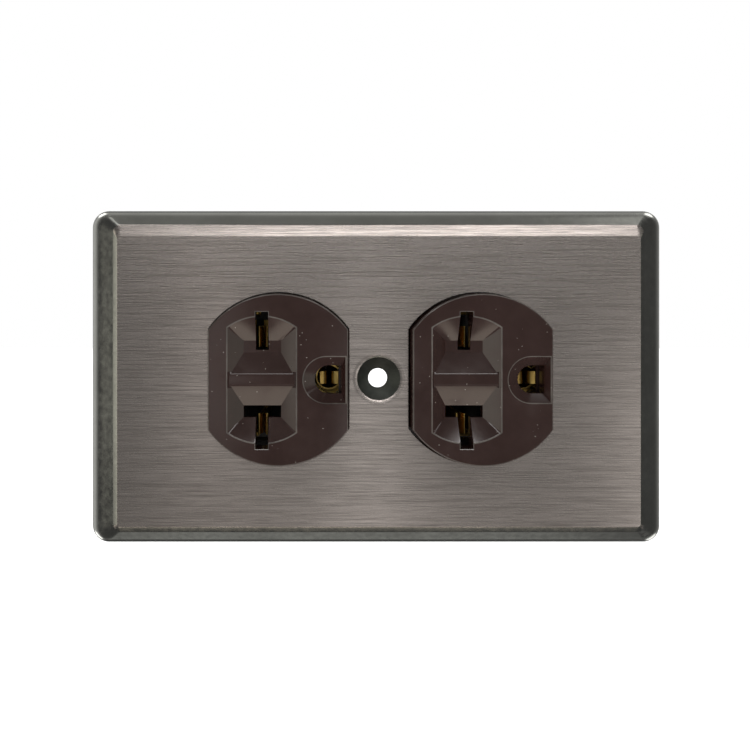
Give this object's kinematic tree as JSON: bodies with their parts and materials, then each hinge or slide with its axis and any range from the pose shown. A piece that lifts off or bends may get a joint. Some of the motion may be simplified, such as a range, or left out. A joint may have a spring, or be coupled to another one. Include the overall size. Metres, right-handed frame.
{
  "type": "wall plate with duplex receptacle",
  "caption": "Brushed metal wall plate with a sloping rim over a brown duplex receptacle, with strap, contacts, clamp terminals and mounting screws.",
  "frame": {"origin": "centre of the wall plate on the wall plane, where the strap's ears and the plate's rim rest", "axes": "+X along the plate's length to the right seen from the front, +Y into the wall box, +Z across the plate's width"},
  "size_m": [0.1142, 0.0321, 0.0666],
  "materials": {
    "antique_nickel": "dark warm brushed nickel, fine grain along the length, semi-gloss",
    "brown_plastic": "dark brown moulded nylon, high gloss with fine dust specks",
    "black_plastic": "black moulded thermoplastic, satin",
    "zinc_steel": "zinc plated steel, satin",
    "brass": "rolled brass strip and brass plated screws",
    "green_steel": "green dyed zinc plating",
    "red_fibre": "red-brown vulcanised fibre, dull"
  },
  "bodies": {
    "device": {"mounting_strap": "zinc_steel", "face_cover": "brown_plastic", "base_body": "black_plastic", "line_contact_upper": "brass", "line_contact_lower": "brass", "ground_contact_left": "brass", "ground_contact_right": "brass", "ground_rivet_left": "brass", "ground_rivet_right": "brass", "assembly_screw_upper_left": "zinc_steel", "assembly_screw_upper_right": "zinc_steel", "assembly_screw_lower_left": "zinc_steel", "assembly_screw_lower_right": "zinc_steel"},
    "plate": {"wall_plate": "antique_nickel"},
    "clamp_upper_left": {"clamp_plate_upper_left": "zinc_steel"},
    "screw_upper_left": {"terminal_screw_upper_left": "brass"},
    "clamp_upper_right": {"clamp_plate_upper_right": "zinc_steel"},
    "screw_upper_right": {"terminal_screw_upper_right": "brass"},
    "clamp_lower_left": {"clamp_plate_lower_left": "zinc_steel"},
    "screw_lower_left": {"terminal_screw_lower_left": "brass"},
    "clamp_lower_right": {"clamp_plate_lower_right": "zinc_steel"},
    "screw_lower_right": {"terminal_screw_lower_right": "brass"},
    "ground_clamp": {"ground_clamp": "zinc_steel"},
    "ground_screw": {"ground_screw": "green_steel"},
    "washer_left": {"retaining_washer_left": "red_fibre"},
    "box_screw_left": {"mounting_screw_left": "zinc_steel"},
    "washer_right": {"retaining_washer_right": "red_fibre"},
    "box_screw_right": {"mounting_screw_right": "zinc_steel"}
  },
  "joints": [
    {"name": "plate_lift_off", "type": "slide", "parent": "device", "child": "plate", "axis": [0, -1, 0], "range_m": [0, 0.03]},
    {"name": "clamp_upper_left_slide", "type": "slide", "parent": "device", "child": "clamp_upper_left", "axis": [0, 0, 1], "range_m": [0, 0.00238]},
    {"name": "screw_upper_left_turn", "type": "hinge", "parent": "clamp_upper_left", "child": "screw_upper_left", "pos_m": [-0.0095, 0.011, 0.0148], "axis": [0, 0, 1], "range_deg": [0, 1080]},
    {"name": "clamp_upper_right_slide", "type": "slide", "parent": "device", "child": "clamp_upper_right", "axis": [0, 0, 1], "range_m": [0, 0.00238]},
    {"name": "screw_upper_right_turn", "type": "hinge", "parent": "clamp_upper_right", "child": "screw_upper_right", "pos_m": [0.0095, 0.011, 0.0148], "axis": [0, 0, 1], "range_deg": [0, 1080]},
    {"name": "clamp_lower_left_slide", "type": "slide", "parent": "device", "child": "clamp_lower_left", "axis": [0, 0, -1], "range_m": [0, 0.00238]},
    {"name": "screw_lower_left_turn", "type": "hinge", "parent": "clamp_lower_left", "child": "screw_lower_left", "pos_m": [-0.0095, 0.011, -0.0148], "axis": [0, 0, -1], "range_deg": [0, 1080]},
    {"name": "clamp_lower_right_slide", "type": "slide", "parent": "device", "child": "clamp_lower_right", "axis": [0, 0, -1], "range_m": [0, 0.00238]},
    {"name": "screw_lower_right_turn", "type": "hinge", "parent": "clamp_lower_right", "child": "screw_lower_right", "pos_m": [0.0095, 0.011, -0.0148], "axis": [0, 0, -1], "range_deg": [0, 1080]},
    {"name": "ground_clamp_slide", "type": "slide", "parent": "device", "child": "ground_clamp", "axis": [-1, 0, 0], "range_m": [0, 0.00238]},
    {"name": "ground_screw_turn", "type": "hinge", "parent": "ground_clamp", "child": "ground_screw", "pos_m": [-0.0372, 0.0064, -0.0094], "axis": [-1, 0, 0], "range_deg": [0, 1080]},
    {"name": "washer_left_slide", "type": "slide", "parent": "device", "child": "washer_left", "axis": [1, 0, 0], "range_m": [-0.0012, 0.0012]},
    {"name": "box_screw_left_turn", "type": "hinge", "parent": "washer_left", "child": "box_screw_left", "pos_m": [-0.04165, 0, 0], "axis": [0, -1, 0], "continuous": true},
    {"name": "washer_right_slide", "type": "slide", "parent": "device", "child": "washer_right", "axis": [1, 0, 0], "range_m": [-0.0012, 0.0012]},
    {"name": "box_screw_right_turn", "type": "hinge", "parent": "washer_right", "child": "box_screw_right", "pos_m": [0.04165, 0, 0], "axis": [0, -1, 0], "continuous": true}
  ],
  "couplings": [
    {"joint": "screw_upper_left_turn", "follows": "clamp_upper_left_slide", "rad_per_m": 7915.8},
    {"joint": "screw_upper_right_turn", "follows": "clamp_upper_right_slide", "rad_per_m": 7915.8},
    {"joint": "screw_lower_left_turn", "follows": "clamp_lower_left_slide", "rad_per_m": 7915.8},
    {"joint": "screw_lower_right_turn", "follows": "clamp_lower_right_slide", "rad_per_m": 7915.8},
    {"joint": "ground_screw_turn", "follows": "ground_clamp_slide", "rad_per_m": 7915.8}
  ]
}
